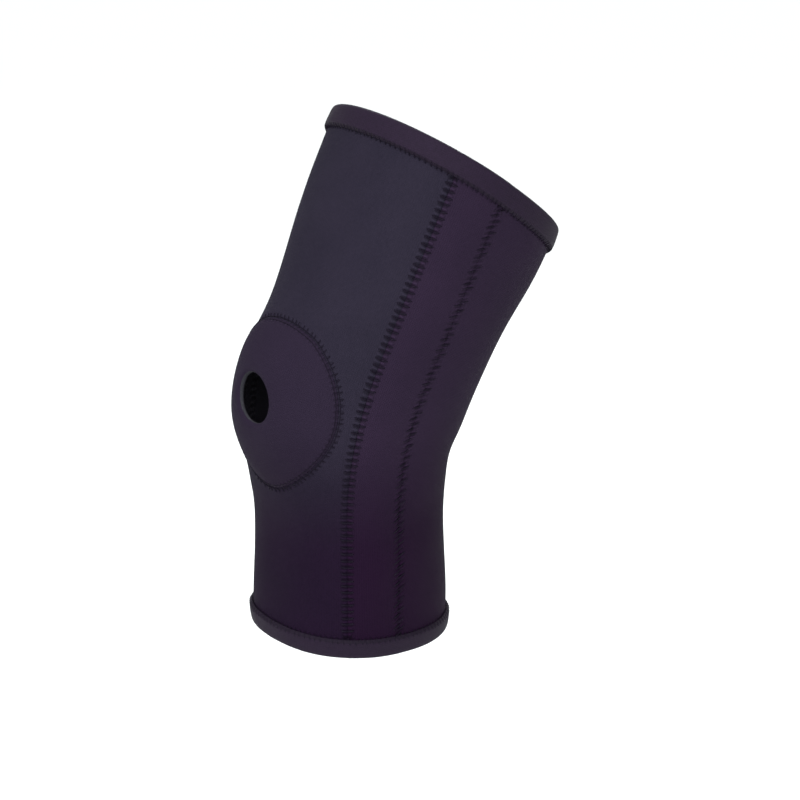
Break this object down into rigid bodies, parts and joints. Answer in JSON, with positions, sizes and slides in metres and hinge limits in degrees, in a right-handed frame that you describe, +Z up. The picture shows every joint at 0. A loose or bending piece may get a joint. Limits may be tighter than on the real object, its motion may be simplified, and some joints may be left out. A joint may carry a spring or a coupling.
{
  "type": "knee sleeve",
  "caption": "Tubular neoprene knee sleeve in its bent-knee form, with a padded kneecap patch around an oval opening, two sewn side channels and bound rims.",
  "frame": {"origin": "middle of the knee's bend, on the leg's centreline, which is the middle of the hollow behind the kneecap opening", "axes": "+Z up along the shin, kneecap opening faces -Y, thigh end leans back towards +Y, and the side that shows in the picture is +X"},
  "size_m": [0.142, 0.1956, 0.3144],
  "materials": {
    "neoprene": "black jersey-faced neoprene, matt with a faint sheen",
    "patch": "black jersey-faced neoprene over a thin pad",
    "binding": "folded knitted tape, matt"
  },
  "bodies": {
    "root": {"front_panel": "neoprene", "outer_channel": "neoprene", "inner_channel": "neoprene", "back_panel": "neoprene", "kneecap_patch": "patch", "thigh_binding": "binding", "calf_binding": "binding"}
  },
  "joints": []
}
